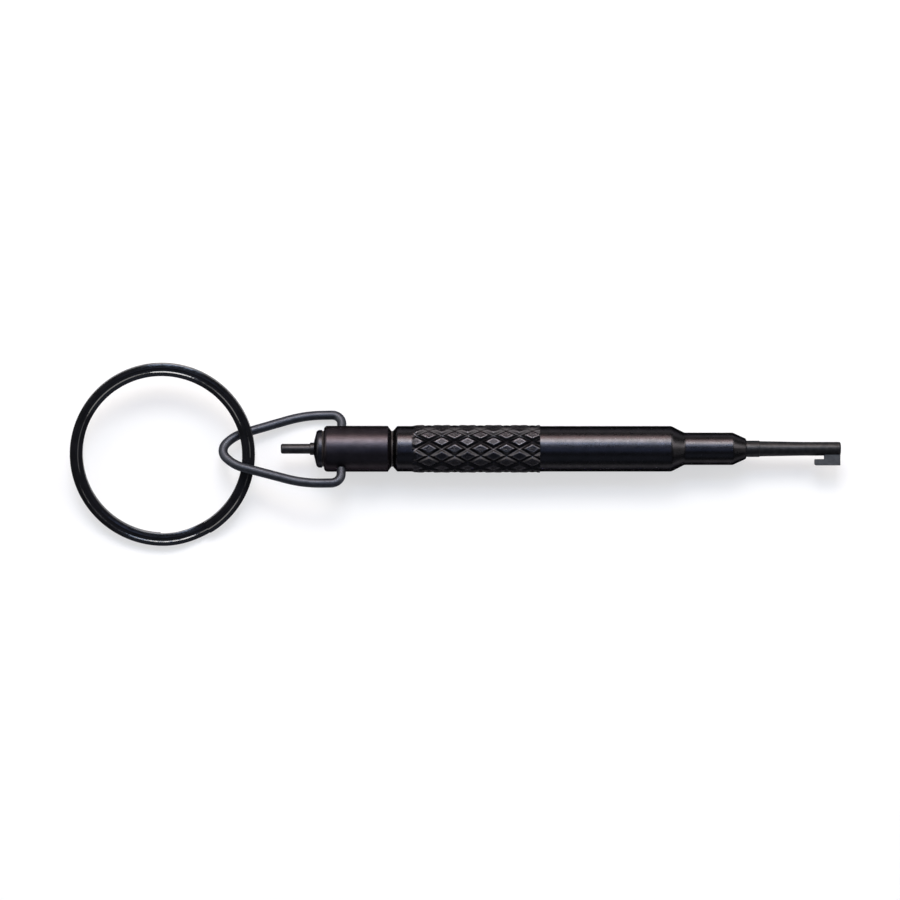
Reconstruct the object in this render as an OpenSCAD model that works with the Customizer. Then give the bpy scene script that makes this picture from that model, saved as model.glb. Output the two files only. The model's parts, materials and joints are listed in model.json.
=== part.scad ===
// Swivel handcuff key with a key ring.
// A slim turned grip holds a hollow-barrel key at its front end. At the rear a shouldered stud,
// with a release pin pressed into its end, carries a free-turning sleeve. A wire bail is hinged in
// the sleeve and a split ring hangs through the bail.
// Millimetres. The tool lies on its side on a surface at z = 0, with its axis along +X and the key
// at the +X end. The origin is at the middle of the bottom of the object's box.

/* [Grip body] */
// Diameter of the plain parts of the grip
body_d = 9.4; // [9:0.1:11]
// Diameter over the crests of the knurl
knurl_d = 9.84; // [9.5:0.02:12]
// Length of the plain band behind the knurl
rear_band_len = 3.8; // [3:0.1:8]
// Length of the knurl
knurl_len = 26.6; // [15:0.1:40]
// Length of the plain part in front of the knurl
front_band_len = 27.0; // [12:0.1:40]
// Length of the cone between the grip and the neck
shoulder_len = 2.65; // [1.5:0.05:5]
// Diameter of the neck
neck_d = 6.68; // [6:0.02:8]
// Length of the neck
neck_len = 10.0; // [8:0.1:16]
// Length of the cone at the nose
nose_len = 2.75; // [1.5:0.05:4]
// Diameter of the flat face at the nose
nose_face_d = 4.1; // [3.8:0.05:5]

/* [Swivel] */
// Diameter of the sleeve
sleeve_d = 9.48; // [9:0.02:11]
// Length of the sleeve
sleeve_len = 13.88; // [11:0.02:20]
// Diameter of the stud's head
stud_head_d = 7.8; // [7:0.1:8.5]
// Length of the stud's head
stud_head_len = 1.65; // [1.4:0.05:3]
// Diameter of the shoulder that the sleeve turns on
stud_shoulder_d = 5.0; // [4.4:0.1:5.2]
// Diameter of the stud's threaded end
stud_thread_d = 4.0; // [3:0.1:4.2]
// Length of the stud's threaded end
stud_thread_len = 8.0; // [5:0.5:12]
// Diameter of the thrust washers
washer_d = 7.4; // [6.6:0.1:7.6]
// Thickness of a thrust washer
washer_t = 0.38; // [0.2:0.02:0.6]

/* [Release pin] */
// Diameter of the pin
pin_d = 2.04; // [1.6:0.02:2.4]
// Length of the pin outside the stud, with its collar
pin_len = 6.85; // [4:0.05:9]
// Diameter of the collar at the pin's root
pin_collar_d = 2.56; // [2.5:0.02:3.2]
// Length of the collar at the pin's root
pin_collar_len = 0.85; // [0.4:0.05:1.5]
// Length of the pin inside the stud
pin_seat_len = 6.0; // [3:0.5:9]

/* [Key] */
// Diameter of the shank that is pressed into the nose
shank_d = 3.38; // [3.2:0.02:3.7]
// Length of the shank inside the nose
shank_seat_len = 11.0; // [6:0.5:12]
// Length of the shank outside the nose
shank_free_len = 2.72; // [1:0.02:5]
// Diameter of the barrel at the shank
barrel_root_d = 3.14; // [2.9:0.02:3.2]
// Diameter of the barrel at its tip
barrel_tip_d = 2.84; // [2.7:0.02:2.9]
// Length of the barrel
barrel_len = 16.8; // [12:0.1:25]
// Diameter of the bore in the barrel's tip
bore_d = 1.7; // [1.4:0.05:1.9]
// Depth of the bore
bore_len = 8.0; // [4:0.5:10]
// Distance from the key's axis to the bit's edge
bit_reach = 3.43; // [3:0.01:4]
// Length of the bit's web along the key
bit_web_len = 3.3; // [2:0.1:4]
// Length of the hook behind the web
bit_hook_len = 2.0; // [1:0.1:3]
// Height of the hook
bit_hook_h = 1.3; // [0.8:0.05:1.5]
// Thickness of the bit
bit_t = 1.5; // [1.2:0.1:2]

/* [Bail] */
// Diameter of the wire
wire_d = 1.9; // [1.4:0.05:2]
// Distance from the hinge line to the middle of the wire at the bail's tip
bail_reach = 24.46; // [23:0.02:28]
// Distance between the middles of the two arms at the hinge
bail_w = 15.86; // [14:0.02:18]
// Radius of the wire's middle at the bail's tip
tip_r = 2.5; // [2.2:0.05:3.5]
// Turn of the wire in the tight part of each side of the tip
tip_turn = 41; // [40:1:60]
// Radius of the wider bend that follows the tip
flank_r = 8.1; // [6:0.1:12]
// Slope of the arms
arm_slope = 17.3; // [14:0.1:20]
// Radius of the bend where the arms turn parallel
arm_bend_r = 24.5; // [16:0.5:26]
// Radius of the bend down to the sleeve
corner_r = 2.05; // [1.6:0.05:2.4]
// Distance from the sleeve's end to the hinge line
hinge_x = 3.6; // [3:0.02:5]

/* [Split ring] */
// Outer diameter of the ring
ring_d = 38.26; // [36:0.02:42]
// Width of the strip that the ring is coiled from
strip_w = 2.68; // [2:0.02:3]
// Thickness of each turn
strip_t = 0.94; // [0.7:0.02:1.1]
// Width of the rounding at the strip's edges
edge_w = 0.8; // [0.2:0.05:1]
// Height of the rounding at the strip's edges
edge_t = 0.4; // [0.1:0.02:0.48]
// Angle round the ring at which the upper turn ends
ring_end_a = 301; // [290:1:310]
// Angle over which the strip steps from one turn to the other
ring_step_a = 27; // [20:1:40]

/* [Rest pose] */
// Turn of the sleeve about the tool's axis
swivel_a = 28; // [0:1:30]
// Dip of the bail below the hinge line
bail_dip = 1.8; // [0:0.1:5]
// Slope of the ring, across the tool
ring_tilt = 10; // [6:1:12]
// Place of the ring's middle along the tool, behind the pin's tip
ring_back = 24.47; // [23:0.01:27]
// Place of the ring's middle to the side of the tool's axis
ring_side = 1.18; // [0:0.01:3]

/* [Hidden] */
$fn = 96;

// Radial clearance of a turning or hinging fit
run_gap = 0.04;
// Gap between parts that only rest against each other
rest_gap = 0.02;
// Bends of the bail are this much thicker than its straight runs, and lap over them this far
wire_step = 0.02;
wire_lap = 0.05;

// Places along the tool's axis, from the tip of the release pin
stud_x = pin_len;
rear_washer_x = stud_x + stud_head_len;
sleeve_x = rear_washer_x + washer_t + rest_gap;
front_washer_x = sleeve_x + sleeve_len + rest_gap;
body_x = front_washer_x + washer_t;
knurl_x = body_x + rear_band_len;
shaft_x = knurl_x + knurl_len;
shoulder_x = shaft_x + front_band_len;
neck_x = shoulder_x + shoulder_len;
nose_x = neck_x + neck_len;
face_x = nose_x + nose_len;
barrel_x = face_x + shank_free_len;
tip_x = barrel_x + barrel_len;
bail_x = sleeve_x + hinge_x;

// The ring's middle, from the tip of the release pin
ring_r = ring_d / 2;
strip_r = ring_r - strip_w / 2;
turn_z = strip_t / 2 + rest_gap;
ring_x = -ring_back;
ring_y = -ring_side;
ring_lift = ring_r * sin(ring_tilt) + strip_t * cos(ring_tilt);

// The object's box is ring, tool and surface, so these put its origin in place
row_x = (ring_back + ring_r - tip_x) / 2;
row_y = ring_side;
row_z = knurl_d / 2;

body_r = body_d / 2;
sleeve_r = sleeve_d / 2;
wire_r = wire_d / 2;
// The bail's hinge bores stop this far from the axis, and its wire stops just short of them
hinge_floor_r = stud_shoulder_d / 2 + 0.5;
wire_end_r = hinge_floor_r + 0.15;

// Places in the tool's frame to the object's frame
module placed() {
    translate([row_x, row_y, row_z]) children();
}

// Turns with the sleeve about the tool's axis
module on_sleeve() {
    placed() rotate([-swivel_a, 0, 0]) children();
}

// A solid of revolution about the tool's axis, from [x, radius] points
module turned(points) {
    rotate([0, 90, 0]) rotate_extrude() polygon([for (p = points) [p[1], p[0]]]);
}

// A round bar along the tool's axis
module bar(x, length, d) {
    translate([x, 0, 0]) rotate([0, 90, 0]) cylinder(d = d, h = length);
}

// [x, radius] points of an arc, from angle a to angle b
function arc(x, r, size, a, b, steps = 6) =
    [for (i = [0 : steps]) let (t = a + (b - a) * i / steps) [x + size * cos(t), r + size * sin(t)]];

module grip_body() {
    chamfer_x = 0.82;
    chamfer_r = 0.95;
    ramp = 0.9;
    edge = 0.25;
    neck_r = neck_d / 2;
    color([0.09, 0.085, 0.1]) placed() difference() {
        turned(concat(
            [[body_x, 0], [body_x, body_r - chamfer_r], [body_x + chamfer_x, body_r],
             [knurl_x, body_r], [knurl_x + ramp, knurl_d / 2],
             [shaft_x - edge, knurl_d / 2], [shaft_x, body_r]],
            [[shoulder_x, body_r], [neck_x - edge, neck_r + edge / 4], [neck_x + edge, neck_r]],
            [[nose_x, neck_r]],
            arc(face_x - edge, nose_face_d / 2, edge, 60, 0, 4),
            [[face_x, 0]]));
        bar(body_x - 1, stud_thread_len + 2, stud_thread_d);
        bar(face_x - shank_seat_len - 1, shank_seat_len + 2, shank_d);
    }
}

module swivel_stud() {
    head_r = stud_head_d / 2;
    corner = 0.7;
    color([0.12, 0.115, 0.13]) placed() difference() {
        union() {
            turned(concat(
                [[stud_x, 0], [stud_x, 1.5]],
                arc(stud_x + 0.45 + corner, head_r - corner, corner, 165, 90),
                [[rear_washer_x, head_r], [rear_washer_x, 0]]));
            bar(stud_x + 1, body_x - stud_x - 1, stud_shoulder_d);
            bar(body_x - 1, stud_thread_len + 1, stud_thread_d);
        }
        bar(stud_x - 1, pin_seat_len + 1, pin_d);
    }
}

module release_pin() {
    pin_r = pin_d / 2;
    collar_r = pin_collar_d / 2;
    edge = 0.3;
    color([0.2, 0.2, 0.2]) placed()
        turned(concat(
            [[0, 0]],
            arc(edge, pin_r - edge, edge, 180, 90),
            [[stud_x - pin_collar_len, pin_r],
             [stud_x - pin_collar_len + 0.3, collar_r], [stud_x, collar_r],
             [stud_x, pin_r], [stud_x + pin_seat_len - edge, pin_r],
             [stud_x + pin_seat_len, pin_r - edge], [stud_x + pin_seat_len, 0]]));
}

module thrust_washer(x) {
    color([0.05, 0.05, 0.05]) placed() difference() {
        bar(x, washer_t, washer_d);
        bar(x - 1, washer_t + 2, stud_shoulder_d + 2 * run_gap);
    }
}

module swivel_sleeve() {
    front_x = sleeve_x + sleeve_len;
    rear_r = stud_head_d / 2 + 0.1;
    edge = sleeve_r - rear_r;
    color([0.11, 0.09, 0.11]) on_sleeve() difference() {
        turned(concat(
            [[sleeve_x, 0]],
            arc(sleeve_x + edge, rear_r, edge, 180, 90),
            [[front_x - 0.72, sleeve_r], [front_x, washer_d / 2 + 0.05], [front_x, 0]]));
        bar(sleeve_x - 1, sleeve_len + 2, stud_shoulder_d + 2 * run_gap);
        for (side = [-90, 90])
            translate([bail_x, 0, 0]) rotate([side, 0, 0])
                translate([0, 0, hinge_floor_r]) cylinder(r = wire_r + run_gap, h = sleeve_r);
    }
}

// A bend in the bail's wire, about a centre in the bail's plane, between two angles
module wire_bend(centre, size, a, b, r = wire_r) {
    lap = wire_lap / size * 180 / PI;
    translate([centre[0], centre[1], 0]) rotate([0, 0, a - lap])
        rotate_extrude(angle = b - a + 2 * lap) translate([size, 0]) circle(r);
}

// A straight stretch of the bail's wire between two points in the bail's plane
module wire_run(p, q, r = wire_r) {
    d = q - p;
    translate([p[0], p[1], 0]) rotate([0, 0, atan2(d[1], d[0])]) rotate([0, 90, 0])
        cylinder(r = r, h = norm(d));
}

// One side of the bail, from beside its tip at x = -bail_reach to its end in the sleeve at x = 0
module bail_side() {
    w = bail_w / 2;
    turn = 90 - tip_turn;
    // Where each bend and run begins, from the tip
    flank = [tip_r * (1 - sin(turn)), tip_r * cos(turn)];
    arm = flank + flank_r * [sin(turn) - sin(arm_slope), cos(arm_slope) - cos(turn)];
    arm_rise = w - arm_bend_r * (1 - cos(arm_slope)) - arm[1];
    bend = arm + arm_rise * [1 / tan(arm_slope), 1];
    straight = bend + arm_bend_r * [sin(arm_slope), 1 - cos(arm_slope)];
    translate([-bail_reach, 0, 0]) {
        wire_bend(flank + flank_r * [sin(turn), -cos(turn)], flank_r, 90 + arm_slope, 90 + turn,
            wire_r + wire_step);
        wire_run(arm, bend);
        wire_bend([straight[0], w - arm_bend_r], arm_bend_r, 90, 90 + arm_slope,
            wire_r + wire_step);
        wire_run(straight, [bail_reach - corner_r, w]);
        wire_bend([bail_reach - corner_r, w - corner_r], corner_r, 0, 90, wire_r + wire_step);
        wire_run([bail_reach, w - corner_r], [bail_reach, wire_end_r]);
    }
}

module bail() {
    color([0.17, 0.18, 0.2]) on_sleeve() translate([bail_x, 0, 0]) rotate([0, -bail_dip, 0]) {
        wire_bend([tip_r - bail_reach, 0], tip_r, 180 - tip_turn, 180 + tip_turn);
        bail_side();
        mirror([0, 1, 0]) bail_side();
    }
}

// Outline of the ring's strip round its middle: flat faces and rounded edges, drawn in by a margin
function strip_outline(margin = 0) =
    let (w = strip_w / 2 - margin, h = strip_t / 2 - margin, rx = edge_w, ry = edge_t)
    [for (c = [[1, 1, 0], [-1, 1, 90], [-1, -1, 180], [1, -1, 270]], i = [0 : 3])
        let (a = c[2] + i * 30)
        [c[0] * (w - rx) + rx * cos(a), c[1] * (h - ry) + ry * sin(a)]];

// One turn of the ring, at a height, between two angles
module ring_turn(height, a, b, margin = 0) {
    rotate([0, 0, a]) rotate_extrude(angle = b - a)
        translate([strip_r, height]) polygon(strip_outline(margin));
}

// The stretch where the strip slopes down from the upper turn to the lower one
module ring_step(a, b) {
    half = (b - a) / 2;
    slope = asin(turn_z / (strip_r * sin(half)));
    lap = 0.3;
    rotate([0, 0, a + half]) rotate([-slope, 0, 0]) ring_turn(0, -half - lap, half + lap, 0.01);
}

module split_ring() {
    end_gap = 2;
    step_end_a = ring_end_a - end_gap;
    step_start_a = step_end_a - ring_step_a;
    color([0.06, 0.06, 0.07]) placed()
        translate([ring_x, ring_y, ring_lift - row_z]) rotate([ring_tilt, 0, 0]) {
            ring_turn(turn_z, ring_end_a, step_start_a + 360);
            ring_step(step_start_a, step_end_a);
            ring_turn(-turn_z, step_end_a, step_start_a + 360 - end_gap);
        }
}

// The bit's outline, from the key's axis to its edge, with the hook behind the web
module bit_outline() {
    web_x = tip_x - 0.1 - bit_web_len;
    hook_x = web_x - bit_hook_len;
    edge = 0.3;
    polygon([[tip_x - 0.1, 0], [web_x, 0], [web_x, bit_hook_h - bit_reach],
        [hook_x + edge / 2, bit_hook_h - bit_reach], [hook_x, bit_hook_h - bit_reach - edge],
        [hook_x + edge / 2, edge - bit_reach], [hook_x + edge, -bit_reach],
        [tip_x - 0.1 - edge / 2, -bit_reach], [tip_x - 0.1, edge / 2 - bit_reach]]);
}

module key() {
    shank_r = shank_d / 2;
    edge = 0.3;
    // The barrel tapers down to a true cylinder before the bit
    plain_x = tip_x - bore_len;
    color([0.19, 0.19, 0.2]) placed() difference() {
        union() {
            turned(concat(
                [[face_x - shank_seat_len, 0], [face_x - shank_seat_len, shank_r - edge],
                 [face_x - shank_seat_len + edge, shank_r], [barrel_x - 0.15, shank_r],
                 [barrel_x + 0.15, barrel_root_d / 2], [plain_x, barrel_tip_d / 2]],
                arc(tip_x - edge, barrel_tip_d / 2 - edge, edge, 90, 0),
                [[tip_x, 0]]));
            translate([0, 0, -bit_t / 2]) linear_extrude(bit_t) bit_outline();
        }
        bar(tip_x - bore_len, bore_len + 1, bore_d);
    }
}

grip_body();
key();
swivel_stud();
release_pin();
thrust_washer(rear_washer_x);  // rear_washer
thrust_washer(front_washer_x);  // front_washer
swivel_sleeve();
bail();
split_ring();
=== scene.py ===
import json
import math

import bpy
from mathutils import Matrix, Vector, noise


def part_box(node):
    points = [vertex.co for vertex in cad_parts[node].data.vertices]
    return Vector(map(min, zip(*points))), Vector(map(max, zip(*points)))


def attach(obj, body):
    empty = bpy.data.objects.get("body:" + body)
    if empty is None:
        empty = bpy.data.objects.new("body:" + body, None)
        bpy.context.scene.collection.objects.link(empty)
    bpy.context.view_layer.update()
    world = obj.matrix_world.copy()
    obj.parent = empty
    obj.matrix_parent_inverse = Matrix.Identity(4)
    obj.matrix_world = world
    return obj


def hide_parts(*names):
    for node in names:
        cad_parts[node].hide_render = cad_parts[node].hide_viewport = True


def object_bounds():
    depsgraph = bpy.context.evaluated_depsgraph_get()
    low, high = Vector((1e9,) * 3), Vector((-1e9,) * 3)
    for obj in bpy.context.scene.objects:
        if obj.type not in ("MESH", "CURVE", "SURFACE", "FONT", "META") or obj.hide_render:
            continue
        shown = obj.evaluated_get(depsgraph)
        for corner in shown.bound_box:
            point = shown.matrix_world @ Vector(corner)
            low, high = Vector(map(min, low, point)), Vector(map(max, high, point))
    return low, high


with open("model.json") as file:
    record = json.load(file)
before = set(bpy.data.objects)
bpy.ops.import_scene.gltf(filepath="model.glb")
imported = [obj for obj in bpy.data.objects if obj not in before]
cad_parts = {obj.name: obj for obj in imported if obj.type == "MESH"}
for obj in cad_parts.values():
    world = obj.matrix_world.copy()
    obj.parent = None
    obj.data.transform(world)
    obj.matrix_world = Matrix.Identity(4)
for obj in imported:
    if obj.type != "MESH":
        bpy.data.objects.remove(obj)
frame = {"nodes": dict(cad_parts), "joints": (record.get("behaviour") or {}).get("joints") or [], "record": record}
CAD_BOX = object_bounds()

# Looks for a swivel handcuff key: a black anodised grip with a diamond knurl, a hollow-barrel key,
# a swivel sleeve with a wire bail, and a gloss black split ring.
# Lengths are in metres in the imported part's frame: +X to the key's tip, +Z up off the surface.

MM = 0.001

# ---------------------------------------------------------------- places from the frame
BODY_LO, BODY_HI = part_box("grip_body")
KEY_LO, KEY_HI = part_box("key")
PIN_LO, PIN_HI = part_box("release_pin")
STUD_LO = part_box("swivel_stud")[0]
AXIS_Y = (BODY_LO.y + BODY_HI.y) / 2
AXIS_Z = (BODY_LO.z + BODY_HI.z) / 2
CREST_R = (BODY_HI.z - BODY_LO.z) / 2

JOINTS = {j["name"]: j for j in frame["joints"]}
MOUNTS = {m["name"]: m for m in frame["record"]["mounts"]}


# ---------------------------------------------------------------- mesh building
def make_piece(name, verts, faces, material, body, replaced=(), sharp_deg=35, marks=None):
    """An object from vertices and faces, on a CAD body, in place of some CAD nodes.

    marks holds named lists with one value for each vertex, which materials read as attributes."""
    mesh = bpy.data.meshes.new(name)
    mesh.from_pydata(verts, [], faces)
    mesh.validate()
    for mark, values in (marks or {}).items():
        mesh.attributes.new(mark, "FLOAT", "POINT").data.foreach_set("value", values)
    mesh.materials.append(material)
    mesh.shade_smooth()
    mesh.set_sharp_from_angle(angle=math.radians(sharp_deg))
    piece = bpy.data.objects.new(name, mesh)
    bpy.context.scene.collection.objects.link(piece)
    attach(piece, body)
    if replaced:
        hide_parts(*replaced)
    return piece


def filleted(corners, steps=5):
    """A polyline through [x, r, fillet radius] corners with its corners rounded, in millimetres."""
    line = []
    for i, (x, r, size) in enumerate(corners):
        here = Vector((x, r))
        if size == 0 or i in (0, len(corners) - 1):
            line.append(here)
            continue
        back = (Vector(corners[i - 1][:2]) - here).normalized()
        ahead = (Vector(corners[i + 1][:2]) - here).normalized()
        half = back.angle(ahead) / 2
        middle = here + (back + ahead).normalized() * size / math.sin(half)
        start = here + back * size / math.tan(half) - middle
        end = here + ahead * size / math.tan(half) - middle
        sweep = start.angle_signed(end)
        for k in range(steps + 1):
            spot = start.copy()
            spot.rotate(Matrix.Rotation(-sweep * k / steps, 2))
            line.append(middle + spot)
    return line


class Lathe:
    """Rings of points round the tool's axis, joined into one closed skin."""

    def __init__(self, count):
        self.count = count
        self.verts = []
        self.faces = []
        self.marks = {"wear": [], "grain": []}
        self.first = self.last = None

    def point(self, x, radius, turn):
        """A point at an angle from straight up, turning towards +Y. x and radius are in millimetres."""
        return (x * MM, AXIS_Y + radius * MM * math.sin(turn), AXIS_Z + radius * MM * math.cos(turn))

    def ring(self, x, radii, wear=None, grain=None, split=None):
        """Adds a ring. radii is one value, or a list with one for each point round the ring."""
        start = len(self.verts)
        for j in range(self.count):
            radius = radii[j] if isinstance(radii, list) else radii
            self.verts.append(self.point(x, radius, 2 * math.pi * j / self.count))
        self.marks["wear"] += wear or [0.0] * self.count
        self.marks["grain"] += grain or [0.0] * self.count
        if self.last is not None:
            self.join(self.last, start, split)
        if self.first is None:
            self.first = start
        self.last = start

    def join(self, a, b, split=None):
        """Skins between two rings, in quads, or in triangles cut on the diagonal that split(j) picks."""
        for j in range(self.count):
            k = (j + 1) % self.count
            quad = (a + j, b + j, b + k, a + k)
            if split is None:
                self.faces.append(quad)
            elif split(j):
                self.faces += [(quad[0], quad[1], quad[2]), (quad[0], quad[2], quad[3])]
            else:
                self.faces += [(quad[0], quad[1], quad[3]), (quad[1], quad[2], quad[3])]

    def close(self):
        """Joins the last ring back to the first."""
        self.join(self.last, self.first)

    def cap(self):
        """Closes the first and last rings with a flat face each."""
        self.faces.append(tuple(range(self.first, self.first + self.count)))
        self.faces.append(tuple(reversed(range(self.last, self.last + self.count))))

    def profile(self, corners):
        """Adds a ring at each point of a profile of [x, r, fillet radius] corners."""
        for spot in filleted(corners):
            self.ring(spot.x, spot.y)


def swept(path, outline):
    """A closed skin that carries an outline of (side, up) points along (place, side, up) frames."""
    n = len(outline)
    verts = [place + side * s + up * u for place, side, up in path for s, u in outline]
    faces = []
    for i in range(len(path) - 1):
        for j in range(n):
            k = (j + 1) % n
            faces.append((i * n + j, i * n + k, (i + 1) * n + k, (i + 1) * n + j))
    faces.append(tuple(reversed(range(n))))
    faces.append(tuple(range((len(path) - 1) * n, len(path) * n)))
    return verts, faces


# ---------------------------------------------------------------- materials
class Surface:
    """A Principled material whose colour, gloss and relief come from procedural textures."""

    def __init__(self, name, metallic=0.0, specular=0.5, tint=(1, 1, 1)):
        self.material = bpy.data.materials.new(name)
        self.material.use_nodes = True
        self.nodes = self.material.node_tree.nodes
        self.links = self.material.node_tree.links
        self.shader = self.nodes["Principled BSDF"]
        self.shader.inputs["Metallic"].default_value = metallic
        self.shader.inputs["Specular IOR Level"].default_value = specular
        self.shader.inputs["Specular Tint"].default_value = (*tint, 1)
        self.place = self.nodes.new("ShaderNodeTexCoord").outputs["Object"]

    def stretched(self, scale):
        """Object coordinates in millimetres times a scale along each axis."""
        mapping = self.nodes.new("ShaderNodeMapping")
        mapping.inputs["Scale"].default_value = [s / MM for s in scale]
        self.links.new(self.place, mapping.inputs["Vector"])
        return mapping.outputs["Vector"]

    def noise(self, scale, detail=4.0, roughness=0.55, stretch=(1, 1, 1), distortion=0.0):
        node = self.nodes.new("ShaderNodeTexNoise")
        node.inputs["Scale"].default_value = 1.0
        node.inputs["Detail"].default_value = detail
        node.inputs["Roughness"].default_value = roughness
        node.inputs["Distortion"].default_value = distortion
        self.links.new(self.stretched([scale * s for s in stretch]), node.inputs["Vector"])
        return node.outputs["Fac"]

    def ramp(self, source, low, high, low_at=0.35, high_at=0.65):
        """Maps a texture value to between two colours or grey levels."""
        node = self.nodes.new("ShaderNodeValToRGB")
        ends = node.color_ramp.elements
        for end, at, value in ((ends[0], low_at, low), (ends[1], high_at, high)):
            end.position = at
            end.color = (*value, 1) if isinstance(value, tuple) else (value, value, value, 1)
        self.links.new(source, node.inputs["Fac"])
        return node.outputs["Color"]

    def mixed(self, factor, a, b):
        """Blends socket a into socket or colour b by a factor socket."""
        node = self.nodes.new("ShaderNodeMix")
        node.data_type = "RGBA"
        self.links.new(factor, node.inputs["Factor"])
        for value, socket in ((a, node.inputs["A"]), (b, node.inputs["B"])):
            if isinstance(value, tuple):
                socket.default_value = (*value, 1)
            else:
                self.links.new(value, socket)
        return node.outputs["Result"]

    def maths(self, operation, a, b):
        node = self.nodes.new("ShaderNodeMath")
        node.operation = operation
        for value, socket in ((a, node.inputs[0]), (b, node.inputs[1])):
            if isinstance(value, (int, float)):
                socket.default_value = value
            else:
                self.links.new(value, socket)
        return node.outputs["Value"]

    def attribute(self, name):
        node = self.nodes.new("ShaderNodeAttribute")
        node.attribute_name = name
        return node.outputs["Fac"]

    def specks(self, scale, size):
        """1 on small scattered dots and 0 elsewhere."""
        node = self.nodes.new("ShaderNodeTexVoronoi")
        node.inputs["Scale"].default_value = 1.0
        self.links.new(self.stretched([scale] * 3), node.inputs["Vector"])
        dots = self.ramp(node.outputs["Distance"], 1.0, 0.0, size * 0.6, size)
        chosen = self.ramp(node.outputs["Color"], 0.0, 1.0, 0.72, 0.75)
        return self.maths("MULTIPLY", dots, chosen)

    def colour(self, socket):
        self.links.new(socket, self.shader.inputs["Base Color"])

    def gloss(self, socket):
        self.links.new(socket, self.shader.inputs["Roughness"])

    def relief(self, *layers):
        """Stacks (height socket, depth in millimetres) layers as bump."""
        last = None
        for height, depth in layers:
            node = self.nodes.new("ShaderNodeBump")
            node.inputs["Distance"].default_value = depth * MM
            self.links.new(height, node.inputs["Height"])
            if last is not None:
                self.links.new(last, node.inputs["Normal"])
            last = node.outputs["Normal"]
        self.links.new(last, self.shader.inputs["Normal"])


def anodised(name, dark, light, roughness, knurled=False):
    """Black anodised aluminium: fine lathe rings, a faint mottle, small specks and worn crests."""
    s = Surface(name, metallic=1.0, tint=(0.02, 0.03, 0.05))
    mottle = s.noise(0.5, detail=5)
    rings = s.noise(9.0, detail=2, stretch=(1, 0.03, 0.03))
    base = s.ramp(mottle, dark, light)
    base = s.mixed(s.specks(0.9, 0.10), base, (0.10, 0.10, 0.11))
    if knurled:
        base = s.mixed(s.attribute("wear"), base, (0.13, 0.125, 0.135))
    s.colour(base)
    s.gloss(s.ramp(s.noise(1.4, detail=4, stretch=(0.6, 1, 1)), roughness[0], roughness[1], 0.3, 0.7))
    layers = [(rings, 0.006), (s.noise(6.0, detail=3), 0.006)]
    if knurled:
        layers.append((s.maths("MULTIPLY", s.noise(5.0, detail=4), s.attribute("grain")), 0.12))
    s.relief(*layers)
    return s.material


def black_steel(name, dark, light, roughness, stretch=(1, 1, 1)):
    """Satin steel with a black oxide finish: cloudy colour, fine drawn grain and pits."""
    s = Surface(name, metallic=0.95, tint=(0.3, 0.32, 0.36))
    s.colour(s.mixed(s.specks(1.1, 0.12), s.ramp(s.noise(1.1, detail=6), dark, light), (0.03, 0.03, 0.03)))
    s.gloss(s.ramp(s.noise(3.0, detail=4), roughness[0], roughness[1], 0.3, 0.7))
    s.relief((s.noise(7.0, detail=3, stretch=stretch), 0.012), (s.noise(1.6, detail=3), 0.02))
    return s.material


def gloss_black(name):
    """Gloss black plating with a slight orange peel and hairline scuffs."""
    s = Surface(name)
    scuffs = s.ramp(s.noise(1.5, detail=8, roughness=0.8, distortion=1.5), 0.0, 1.0, 0.66, 0.72)
    s.colour(s.mixed(scuffs, s.ramp(s.noise(0.35), (0.003, 0.003, 0.0035), (0.0055, 0.0055, 0.007)),
                     (0.035, 0.033, 0.036)))
    s.gloss(s.ramp(s.noise(2.2, detail=5), 0.10, 0.18, 0.35, 0.75))
    s.relief((s.noise(0.7, detail=2), 0.03), (s.noise(3.5, detail=3), 0.004))
    return s.material


def moulded(name):
    """Matt dark plastic with a fine grain."""
    s = Surface(name, specular=0.22)
    s.colour(s.ramp(s.noise(2.0), (0.012, 0.009, 0.008), (0.022, 0.017, 0.015)))
    s.gloss(s.ramp(s.noise(3.0), 0.5, 0.7))
    s.relief((s.noise(8.0), 0.01))
    return s.material


DRAWN = (0.1, 1, 1)
GRIP_BLACK = anodised("grip_black", (0.030, 0.029, 0.031), (0.037, 0.035, 0.038), (0.25, 0.33), True)
SLEEVE_BLACK = anodised("sleeve_black", (0.031, 0.027, 0.030), (0.040, 0.035, 0.039), (0.36, 0.43))
STUD_BLACK = anodised("stud_black", (0.030, 0.030, 0.034), (0.043, 0.043, 0.048), (0.34, 0.42))
KEY_STEEL = black_steel("key_steel", (0.025, 0.025, 0.026), (0.040, 0.039, 0.039), (0.40, 0.50), DRAWN)
BIT_STEEL = black_steel("bit_steel", (0.056, 0.059, 0.062), (0.075, 0.079, 0.083), (0.55, 0.62), DRAWN)
PIN_STEEL = black_steel("pin_steel", (0.030, 0.029, 0.030), (0.048, 0.046, 0.046), (0.40, 0.48))
BAIL_STEEL = black_steel("bail_steel", (0.042, 0.045, 0.053), (0.058, 0.062, 0.071), (0.44, 0.52))
RING_BLACK = gloss_black("ring_black")
WASHER_GREY = moulded("washer_grey")

# ---------------------------------------------------------------- the grip and its knurl
# Radii and lengths of the grip in millimetres. The two starts are measured from its rear face
BODY_R = 4.7
NECK_R = 3.34
NOSE_FACE_R = 1.95
REAR_BAND_LEN = 3.8
SHAFT_START = 30.4
SHOULDER_START = 57.4
SHOULDER_LEN = 2.65
NOSE_LEN = 2.75
REAR_CHAMFER_LEN = 0.82
REAR_CHAMFER_DEPTH = 0.95
STUD_BORE_R = 2.0
STUD_BORE_LEN = 8.0
SHANK_R = 1.69
SHANK_SEAT_LEN = 11.0
# Radius of the thin hole that joins the two bores inside, so that the skin closes on itself
GRIP_CORE_R = 0.4

# Helical grooves of each hand, and steps from one groove to the next
KNURL_GROOVES = 10
KNURL_CELL = 24
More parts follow.
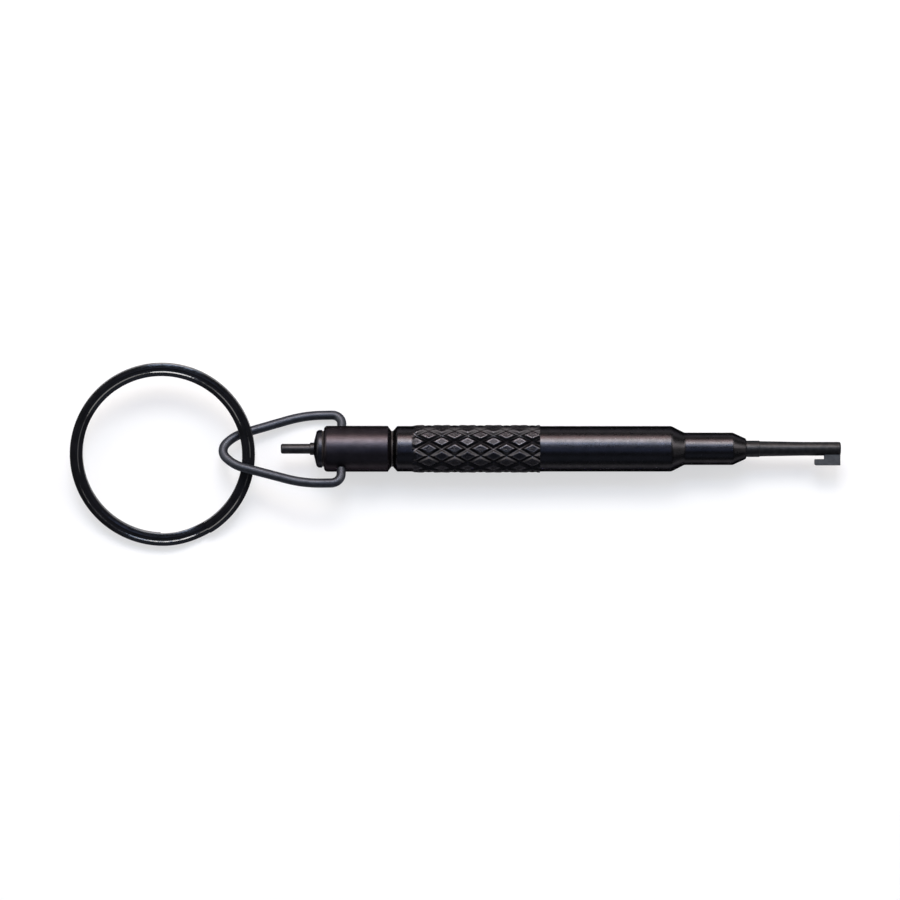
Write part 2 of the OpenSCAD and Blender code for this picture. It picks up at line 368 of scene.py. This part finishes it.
# Millimetres: the grooves' pitch along the tool, and how far from the grip's rear face a diamond's
# middle lies straight up from the axis
KNURL_PITCH = 5.33
KNURL_MIDDLE = 18.0
# Millimetres below the crests at each step away from the nearest groove's middle
KNURL_DEPTHS = (0.42, 0.385, 0.29, 0.195, 0.10, 0.02, 0.0, 0.025, 0.06, 0.075)
# The step at which the crest is highest, and the deepest pits on the diamonds in millimetres
KNURL_CREST_STEP = KNURL_DEPTHS.index(0.0)
KNURL_PITTING = 0.035
# Millimetres over which the knurl rises out of the plain band
KNURL_RUN_IN = 1.0


def groove_steps(i, j):
    """Steps from column i and point j of the knurl to the nearest groove of each hand."""
    steps = []
    for phase in (i + j, i - j):
        off = (phase + KNURL_CELL // 2) % KNURL_CELL
        steps.append(min(off, KNURL_CELL - off))
    return steps


def knurl(lathe, start, end, middle):
    """Adds the knurl, whose points lie along its grooves, and returns where it stops.

    The middle of one diamond lies straight up from the axis at middle."""
    crest = CREST_R / MM
    column = KNURL_PITCH / KNURL_CELL
    shift = round((start - middle) / column)
    columns = int((end - start) / column)
    for i in range(columns + 1):
        x = start + i * column
        radii, wear, grain = [], [], []
        for j in range(lathe.count):
            step = min(groove_steps(i + shift, j))
            turn = 2 * math.pi * j / lathe.count
            # Where the noise is read: on a tube, so that it has no seam round the grip
            spot = Vector((x * 1.7, 6 * math.sin(turn), 6 * math.cos(turn)))
            pits = abs(noise.noise(spot * 1.3))
            depth = KNURL_DEPTHS[min(step, len(KNURL_DEPTHS) - 1)]
            if step > KNURL_CREST_STEP:
                depth += KNURL_PITTING * pits
            ragged = 0.35 * noise.noise(spot * 0.45)
            rise = min(1, max(0, (x - start) / KNURL_RUN_IN + ragged))
            rise = rise * rise * (3 - 2 * rise)
            radii.append(BODY_R + (crest - depth - BODY_R) * rise)
            wear.append(rise * max(0, 1 - abs(step - KNURL_CREST_STEP) / 2) * (0.25 + 0.5 * pits))
            grain.append(rise * min(1, max(0, (step - KNURL_CREST_STEP + 1) / 3)))

        # Each quad is cut along the nearer groove
        def split(j, before=i + shift - 1):
            steps = groove_steps(before, j)
            return steps[0] >= steps[1]

        lathe.ring(x, radii, wear, grain, split)
    return start + columns * column


def grip():
    """The grip in one closed skin, from the stud's bore round the outside to the shank's bore."""
    lathe = Lathe(KNURL_GROOVES * KNURL_CELL)
    rear, face = BODY_LO.x / MM, BODY_HI.x / MM
    knurl_x, shaft_x, shoulder = rear + REAR_BAND_LEN, rear + SHAFT_START, rear + SHOULDER_START
    stud_end, shank_end = rear + STUD_BORE_LEN, face - SHANK_SEAT_LEN
    chamfer_r, chamfer_end = BODY_R - REAR_CHAMFER_DEPTH, rear + REAR_CHAMFER_LEN
    lathe.profile([(stud_end, GRIP_CORE_R, 0), (stud_end, STUD_BORE_R, 0), (rear, STUD_BORE_R, 0),
                   (rear, chamfer_r, 0.08), (chamfer_end, BODY_R, 0.35), (knurl_x - 0.1, BODY_R, 0)])
    stop = knurl(lathe, knurl_x, shaft_x, rear + KNURL_MIDDLE)
    lathe.profile([(stop + 0.06, BODY_R + 0.02, 0), (stop + 1.0, BODY_R, 0), (shoulder, BODY_R, 1.6),
                   (shoulder + SHOULDER_LEN, NECK_R, 1.2), (face - NOSE_LEN, NECK_R, 1.0),
                   (face - 0.15, NOSE_FACE_R + 0.2, 0.3), (face, NOSE_FACE_R, 0.1), (face, SHANK_R, 0),
                   (shank_end, SHANK_R, 0), (shank_end, GRIP_CORE_R, 0)])
    lathe.close()
    make_piece("grip_knurled", lathe.verts, lathe.faces, GRIP_BLACK, "grip", ["grip_body"],
               sharp_deg=28, marks=lathe.marks)


# ---------------------------------------------------------------- the key
# Lengths and radii in millimetres
BARREL_LEN = 16.8
BARREL_ROOT_R = 1.57
BARREL_TIP_R = 1.42
KEY_BORE_R = 0.85
KEY_BORE_LEN = 8.0
# Radius of the small flat faces that close a turned piece at its axis
CORE_R = 0.1


def key_barrel():
    """The pressed shank and the tapered hollow barrel, turned from one piece."""
    lathe = Lathe(96)
    start, tip = KEY_LO.x / MM, KEY_HI.x / MM
    shoulder, bore_end = tip - BARREL_LEN, tip - KEY_BORE_LEN
    chamfer, bore_chamfer = 0.3, 0.12
    lathe.profile([(bore_end, CORE_R, 0), (bore_end, KEY_BORE_R, 0), (tip - bore_chamfer, KEY_BORE_R, 0),
                   (tip, KEY_BORE_R + bore_chamfer, 0), (tip, BARREL_TIP_R, 0.38),
                   (bore_end, BARREL_TIP_R, 0), (shoulder + 0.08, BARREL_ROOT_R, 0.04),
                   (shoulder, SHANK_R, 0.12), (start + chamfer, SHANK_R, 0),
                   (start, SHANK_R - chamfer, 0), (start, CORE_R, 0)])
    lathe.cap()
    make_piece("key_hollow", lathe.verts, lathe.faces, KEY_STEEL, "grip", ["key"])


def key_bit():
    """The bit: a flat hook with rounded corners and broken edges, rooted in the barrel."""
    reach = (AXIS_Y - KEY_LO.y) / MM
    set_back, web_len, hook_len, hook_height = 0.1, 3.3, 2.0, 1.3
    front = KEY_HI.x / MM - set_back
    web = front - web_len
    hook = web - hook_len
    root, hook_top = -1.05, hook_height - reach
    outline = filleted([(front, root, 0), (front, -reach, 0.12), (hook, -reach, 0.38),
                        (hook, hook_top, 0.2), (web, hook_top, 0.08), (web, root, 0)], 4)
    n = len(outline)
    half, broken = 0.75, 0.06
    verts = []
    for z, drawn_in in ((-half, broken), (broken - half, 0), (half - broken, 0), (half, broken)):
        for k, spot in enumerate(outline):
            along = (outline[(k + 1) % n] - outline[k - 1]).normalized()
            edge = spot + Vector((along.y, -along.x)) * drawn_in
            verts.append((edge.x * MM, AXIS_Y + edge.y * MM, AXIS_Z + z * MM))
    faces = [(a * n + j, a * n + (j + 1) % n, (a + 1) * n + (j + 1) % n, (a + 1) * n + j)
             for a in range(3) for j in range(n)]
    faces += [tuple(reversed(range(n))), tuple(range(3 * n, 4 * n))]
    make_piece("key_bit", verts, faces, BIT_STEEL, "grip")


# ---------------------------------------------------------------- the release pin
def release_pin():
    """The pin with its collar against the stud, and its root inside the stud."""
    lathe = Lathe(64)
    tip, end, stud = PIN_LO.x / MM, PIN_HI.x / MM, STUD_LO.x / MM
    pin_r, collar_r, collar_len, chamfer = 1.02, 1.28, 0.85, 0.3
    collar = stud - collar_len
    lathe.profile([(tip, CORE_R, 0), (tip, pin_r, 0.36), (collar, pin_r, 0.05),
                   (collar, collar_r, 0.12), (stud, collar_r, 0), (stud, pin_r, 0),
                   (end - chamfer, pin_r, 0), (end, pin_r - chamfer, 0), (end, CORE_R, 0)])
    lathe.cap()
    make_piece("pin_round", lathe.verts, lathe.faces, PIN_STEEL, "grip", ["release_pin"])


# ---------------------------------------------------------------- the bail
WIRE_R = 0.95
WIRE_SIDES = 28
# Millimetres in the bail's plane: hinge line to the tip, axis to an arm, and axis to the wire's end
BAIL_REACH = 24.46
BAIL_HALF = 7.93
BAIL_END = 3.15
# Degrees that the bail dips from its hinge line down to its tip
BAIL_DIP = 1.8


def bail_side():
    """Middle of the wire from the tip to one end, as (x, y) with the hinge line at x = 0."""
    tip_r, tip_turn = 2.5, 41
    flank_r, arm_slope = 8.1, 17.3
    arm_bend_r, corner_r = 24.5, 2.05
    heading, spot = 90.0, Vector((-BAIL_REACH, 0))
    side = [spot]

    def bend(radius, degrees, steps):
        nonlocal heading, spot
        half = degrees / steps / 2
        for _ in range(steps):
            heading -= half
            along = Vector((math.cos(math.radians(heading)), math.sin(math.radians(heading))))
            spot = spot + along * 2 * radius * math.sin(math.radians(half))
            heading -= half
            side.append(spot)

    def run_to(x, y):
        nonlocal spot
        spot = Vector((x, y))
        side.append(spot)

    bend(tip_r, tip_turn, 10)
    bend(flank_r, 90 - tip_turn - arm_slope, 8)
    slope = math.radians(arm_slope)
    rise = BAIL_HALF - arm_bend_r * (1 - math.cos(slope)) - spot.y
    run_to(spot.x + rise / math.tan(slope), spot.y + rise)
    bend(arm_bend_r, arm_slope, 8)
    run_to(-corner_r, BAIL_HALF)
    bend(corner_r, 90, 12)
    run_to(0, BAIL_END)
    return side


def bail():
    """One round wire from its end in the sleeve, round the tip, to its other end in the sleeve."""
    hinge = JOINTS["bail_swing"]
    pivot, line = Vector(hinge["pos_m"]), Vector(hinge["axis"]).normalized()
    ahead = Matrix.Rotation(math.radians(-BAIL_DIP), 3, line) @ Vector((1, 0, 0))
    up = ahead.cross(line)
    side = bail_side()
    route = [Vector((p.x, -p.y)) for p in reversed(side[1:])] + side
    spots = [pivot + ahead * p.x * MM + line * p.y * MM for p in route]
    path = []
    for i, spot in enumerate(spots):
        along = (spots[min(i + 1, len(spots) - 1)] - spots[max(i - 1, 0)]).normalized()
        path.append((spot, up.cross(along).normalized(), up))
    turns = [2 * math.pi * k / WIRE_SIDES for k in range(WIRE_SIDES)]
    outline = [(WIRE_R * MM * math.cos(t), WIRE_R * MM * math.sin(t)) for t in turns]
    verts, faces = swept(path, outline)
    make_piece("bail_wire", verts, faces, BAIL_STEEL, "bail", ["bail"],
               sharp_deg=50)


# ---------------------------------------------------------------- the split ring
# Millimetres: radius of the strip's middle, and the strip's width and thickness
RING_R = 17.79
STRIP_W = 2.68
STRIP_T = 0.94
# Millimetres that each turn lies above or below the ring's middle plane
TURN_Z = 0.49
# The most degrees that the strip leans either way along its length
RING_WAVE = 0.9
# Degrees: where the upper turn starts, what the step down takes, and the gap at the cut ends
RING_END = 301
RING_STEP = 27
END_GAP = 2


def strip_section():
    """Outline of the strip: rounded edges, and a shallow channel between two fine lips on each face."""
    channel_depth, lip_fall, edge_half_t = 0.13, 0.004, 0.234
    # The edge is blunter than the CAD solid's, so it stops a little short of it to keep in its box
    edge = STRIP_W / 2 - 0.02
    top = STRIP_T / 2
    quarter = [(0.25, top - channel_depth, 0.10), (0.47, top, 0.03), (0.54, top - lip_fall, 0.05),
               (edge, edge_half_t, 0.16)]
    corners = quarter + [(u, -v, size) for u, v, size in reversed(quarter)]
    corners += [(-u, v, size) for u, v, size in reversed(corners)]
    return [spot * MM for spot in filleted([corners[-1]] + corners + [corners[0]], 4)[1:-1]]


def split_ring():
    """Two turns of one strip, with the step between them, and a slight wave in how it lies."""
    eye = MOUNTS["ring_eye"]
    centre, normal = Vector(eye["pos_m"]), Vector(eye["axis"]).normalized()
    right = Vector((1, 0, 0))
    ahead = normal.cross(right)
    turn = 360 - END_GAP - RING_STEP
    fine_step, coarse_step = 1.5, 3.0
    spots, radials, leans = [], [], []
    degree = 0.0
    while degree <= 2 * turn + RING_STEP:
        fall = min(1, max(0, (degree - turn) / RING_STEP))
        level = TURN_Z * math.cos(math.pi * fall)
        angle = math.radians(RING_END + degree)
        radial = right * math.cos(angle) + ahead * math.sin(angle)
        spots.append(centre + radial * RING_R * MM + normal * level * MM)
        radials.append(radial)
        leans.append(math.radians(RING_WAVE) * noise.noise(radial * 2.1 + Vector((0, 0, 0.02 * degree))))
        near_step = abs(degree - turn - RING_STEP / 2) < RING_STEP
        degree += fine_step if near_step else coarse_step
    path = []
    for i, (spot, radial, lean) in enumerate(zip(spots, radials, leans)):
        along = (spots[min(i + 1, len(spots) - 1)] - spots[max(i - 1, 0)]).normalized()
        tilt = Matrix.Rotation(lean, 3, along)
        path.append((spot, tilt @ radial, tilt @ radial.cross(along)))
    verts, faces = swept(path, strip_section())
    make_piece("ring_coiled", verts, faces, RING_BLACK, "ring", ["split_ring"],
               sharp_deg=50)


# ---------------------------------------------------------------- CAD pieces that stay in view
def carried_over():
    """The sleeve, stud and washers keep their CAD shapes and get their own finishes."""
    looks = {
        "swivel_sleeve": (SLEEVE_BLACK, "sleeve"),
        "swivel_stud": (STUD_BLACK, "stud"),
        "rear_washer": (WASHER_GREY, "washer"),
        "front_washer": (WASHER_GREY, "washer"),
    }
    for node, (material, slot) in looks.items():
        piece = frame["nodes"][node]
        piece.data.materials.clear()
        piece.data.materials.append(material)


# ---------------------------------------------------------------- stage, lights and camera
def floor():
    """A light table: a pale surface that glows a little itself, so that shadows stay faint."""
    half = 3.0
    below_box = 0.0001
    glow = 0.6
    corners = [(-half, -half, 0), (half, -half, 0), (half, half, 0), (-half, half, 0)]
    mesh = bpy.data.meshes.new("floor")
    mesh.from_pydata(corners, [], [(0, 1, 2, 3)])
    surface = Surface("floor_white", specular=0.1)
    surface.colour(surface.ramp(surface.noise(0.01), 0.33, 0.35))
    surface.shader.inputs["Roughness"].default_value = 0.9
    surface.shader.inputs["Emission Color"].default_value = (1, 1, 1, 1)
    surface.shader.inputs["Emission Strength"].default_value = glow
    mesh.materials.append(surface.material)
    plane = bpy.data.objects.new("floor", mesh)
    plane.location = (0, 0, min(CAD_BOX[0].z, 0) - below_box)
    bpy.context.scene.collection.objects.link(plane)


def softbox(name, bearing, angle, width, height, radiance, colour):
    """An area light one metre from the origin, tipped from straight up by an angle.

    The angle tips it towards a bearing, which is 0 for +Y and 90 for +X."""
    light = bpy.data.lights.new(name, "AREA")
    light.shape = "RECTANGLE"
    light.size = width
    light.size_y = height
    light.energy = radiance * math.pi * width * height
    light.color = colour
    lamp = bpy.data.objects.new(name, light)
    swing = Matrix.Rotation(math.radians(-bearing), 4, "Z") @ Matrix.Rotation(math.radians(-angle), 4, "X")
    lamp.matrix_world = swing @ Matrix.Translation((0, 0, 1))
    bpy.context.scene.collection.objects.link(lamp)


def lights():
    """A bright strip over the +Y side with a warm and a cool edge, and weaker boxes all round."""
    softbox("main", 0, 42, 0.45, 0.25, 19.7, (1.0, 0.98, 0.96))
    softbox("warm_edge", 0, 57, 0.45, 0.25, 7.5, (1.0, 0.70, 0.66))
    softbox("cool_edge", 0, 28, 0.45, 0.20, 9.2, (0.55, 0.70, 1.0))
    softbox("cool_overhead", 0, -2, 0.45, 0.42, 0.85, (0.38, 0.52, 1.0))
    softbox("low_fill", 180, 50, 0.8, 0.5, 0.22, (0.62, 0.72, 1.0))
    for side in (-1, 1):
        softbox("corner", side * 50, 51, 0.90, 0.40, 4.0, (1.0, 0.96, 0.93))
        softbox("end", side * 90, 68, 0.8, 0.30, 1.3, (1.0, 1.0, 1.0))
    world = bpy.data.worlds.new("studio")
    world.use_nodes = True
    background = world.node_tree.nodes["Background"]
    background.inputs["Color"].default_value = (0.80, 0.86, 1.0, 1)
    background.inputs["Strength"].default_value = 0.08
    bpy.context.scene.world = world


def camera():
    """Straight down, square to the tool, with the object's box a little off the frame's middle."""
    # Metres: width of the view at the tool's axis, height above it, and the view's offset
    field = 0.1857
    distance = 1.0
    shift_x, shift_y = -1.05 * MM, 0.93 * MM
    data = bpy.data.cameras.new("camera")
    data.sensor_width = 36
    data.lens = data.sensor_width * distance / field
    data.clip_start, data.clip_end = 0.01, 20
    cam = bpy.data.objects.new("camera", data)
    middle = (CAD_BOX[0] + CAD_BOX[1]) / 2
    cam.location = (middle.x + shift_x, middle.y + shift_y, AXIS_Z + distance)
    bpy.context.scene.collection.objects.link(cam)
    bpy.context.scene.camera = cam


grip()
key_barrel()
key_bit()
release_pin()
bail()
split_ring()
carried_over()
floor()
lights()
camera()
bpy.context.scene.view_settings.view_transform = "Standard"
